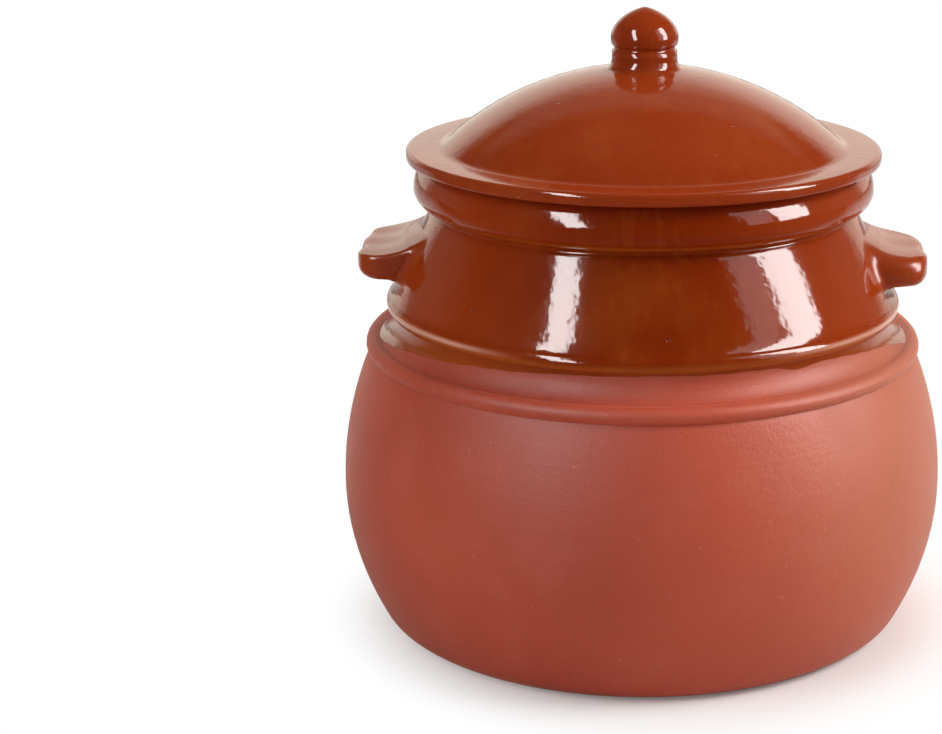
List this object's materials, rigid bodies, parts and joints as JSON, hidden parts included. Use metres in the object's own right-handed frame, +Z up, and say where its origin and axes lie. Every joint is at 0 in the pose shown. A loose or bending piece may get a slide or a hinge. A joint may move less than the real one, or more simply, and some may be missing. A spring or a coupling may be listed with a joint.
{
  "type": "soup pot",
  "caption": "Round red clay soup pot with a glazed neck, lug handles and a loose domed lid with an acorn knob, for cooking and serving soup.",
  "frame": {"origin": "centre of the flat base, on the surface that the pot stands on", "axes": "+Z up along the pot's axis, X through the two handles"},
  "size_m": [0.255, 0.255, 0.2597],
  "materials": {
    "bare_clay": "unglazed red earthenware, matt",
    "honey_glaze": "glossy transparent honey-brown glaze over red clay",
    "glazed_handle": "glossy transparent honey-brown glaze over hand-formed clay",
    "lid_glaze": "glossy transparent honey-brown glaze over red clay"
  },
  "bodies": {
    "pot": {"pot_body": "bare_clay", "inner_glaze": "honey_glaze", "neck_glaze": "honey_glaze", "left_handle": "glazed_handle", "right_handle": "glazed_handle"},
    "lid": {"lid_shell": "bare_clay", "lid_glaze": "lid_glaze", "lid_knob": "lid_glaze"}
  },
  "joints": [
    {"name": "lid_lift", "type": "slide", "parent": "pot", "child": "lid", "axis": [0, 0, 1], "range_m": [0, 0.15]}
  ]
}
